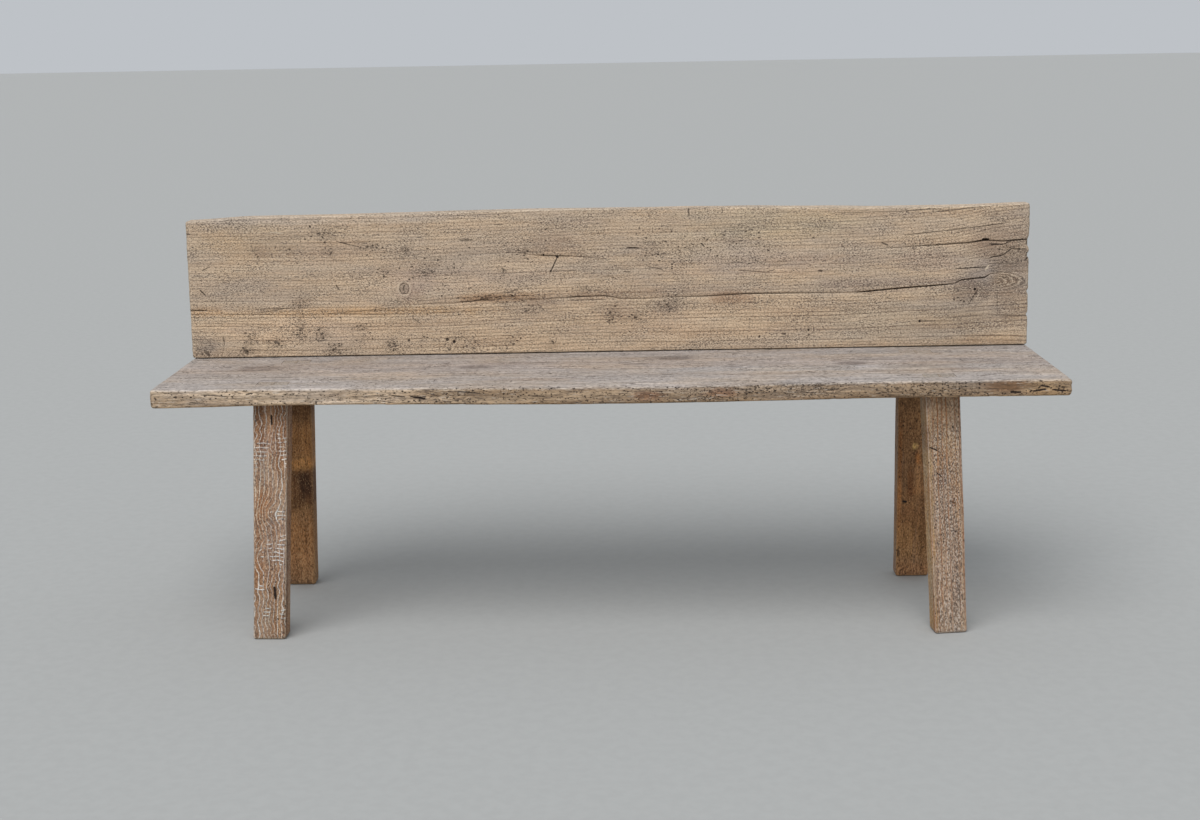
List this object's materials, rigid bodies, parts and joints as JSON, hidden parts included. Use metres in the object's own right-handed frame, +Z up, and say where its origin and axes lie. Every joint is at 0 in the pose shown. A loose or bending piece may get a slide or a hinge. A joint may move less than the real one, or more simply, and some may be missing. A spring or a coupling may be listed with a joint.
{
  "type": "bench",
  "caption": "Low-backed plank bench in old weathered timber: a thick plank seat on splayed square legs with wedged through tenons, and a single leaning plank as its back.",
  "frame": {"origin": "on the floor, under the middle of the bench's box", "axes": "+Z up, +X along the bench's length to the right of someone who faces its front, -Y towards its front"},
  "size_m": [1.64, 0.4158, 0.7451],
  "materials": {
    "seat_wood": "bare, greyed by weather and worn smooth",
    "backrest_wood": "bare, tan, with open grain, cracks and worm pits",
    "leg_wood": "bare, warm brown, with raised grain",
    "wedge_wood": "bare end grain, darkened",
    "screw_steel": "dull, darkened steel"
  },
  "bodies": {
    "root": {"seat_plank": "seat_wood", "backrest_plank": "backrest_wood", "leg_front_left": "leg_wood", "leg_front_right": "leg_wood", "leg_rear_left": "leg_wood", "leg_rear_right": "leg_wood", "tenon_wedge_front_left": "wedge_wood", "tenon_wedge_front_right": "wedge_wood", "tenon_wedge_rear_left": "wedge_wood", "tenon_wedge_rear_right": "wedge_wood", "backrest_screw_1": "screw_steel", "backrest_screw_2": "screw_steel", "backrest_screw_3": "screw_steel", "backrest_screw_4": "screw_steel", "backrest_screw_5": "screw_steel"}
  },
  "joints": []
}
